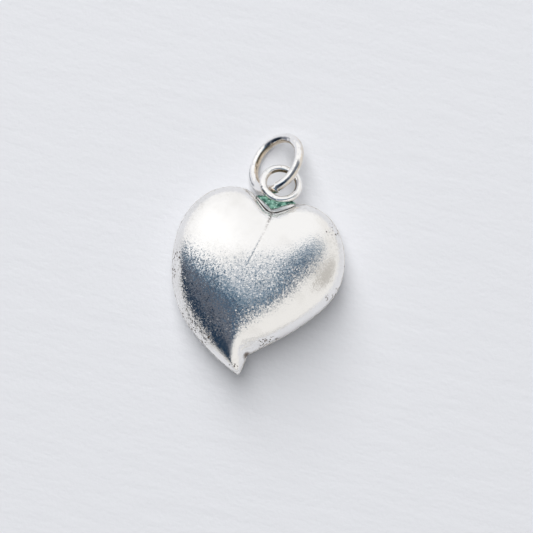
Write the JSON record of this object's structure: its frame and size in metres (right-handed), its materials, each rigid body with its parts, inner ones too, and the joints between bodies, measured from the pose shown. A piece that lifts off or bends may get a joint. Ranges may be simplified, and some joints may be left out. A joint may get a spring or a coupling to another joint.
{
  "type": "heart pendant",
  "caption": "Puffed heart pendant: two soldered shells, a closed eye ring in the cleft and an open jump ring that swings in it to take a chain.",
  "frame": {"origin": "under the middle of the pendant's box, on the surface it lies on", "axes": "+Z out of the front, +Y from the tip to the rings, +X to the right as seen from the front"},
  "size_m": [0.0178, 0.0256, 0.008],
  "materials": {
    "shell_silver": "bright silver with a fine frosted grain and light scratches",
    "ring_silver": "bright silver wire, lightly worn, tan tarnish inside",
    "seam_solder": "rough solder with brown pits",
    "verdigris_solder": "solder under a matt green crust of verdigris"
  },
  "bodies": {
    "heart": {"front_shell": "shell_silver", "back_shell": "shell_silver", "seam_solder": "seam_solder", "eye_ring": "ring_silver", "eye_solder": "verdigris_solder"},
    "jump_ring": {"jump_ring": "ring_silver"}
  },
  "joints": [
    {"name": "jump_ring_swing", "type": "hinge", "parent": "heart", "child": "jump_ring", "pos_m": [0.00073, 0.00902, 0.00316], "axis": [0.9659, -0.2285, 0.1215], "range_deg": [0, 130]}
  ]
}
